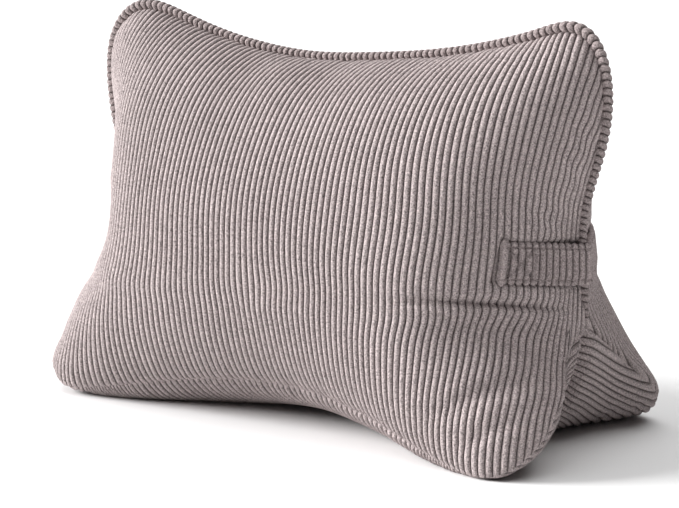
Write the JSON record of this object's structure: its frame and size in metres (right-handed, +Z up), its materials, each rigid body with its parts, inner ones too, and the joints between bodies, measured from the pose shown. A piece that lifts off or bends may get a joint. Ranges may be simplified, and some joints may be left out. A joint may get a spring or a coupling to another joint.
{
  "type": "lumbar support pillow",
  "caption": "Three-lobed ribbed cloth support pillow that stands on two feet, with a welted upper seam and a strap handle at one end.",
  "frame": {"origin": "middle of the pillow's outer box in plan, on the surface that its two feet stand on", "axes": "+X along the pillow towards the end with the strap handle, -Y towards the front, +Z up"},
  "size_m": [0.4701, 0.2514, 0.3182],
  "materials": {
    "cover": "soft ribbed corduroy, matt",
    "welt": "soft ribbed corduroy, matt",
    "handle": "soft ribbed corduroy, matt"
  },
  "bodies": {
    "root": {"cushion": "cover", "welt": "welt", "handle": "handle"}
  },
  "joints": []
}
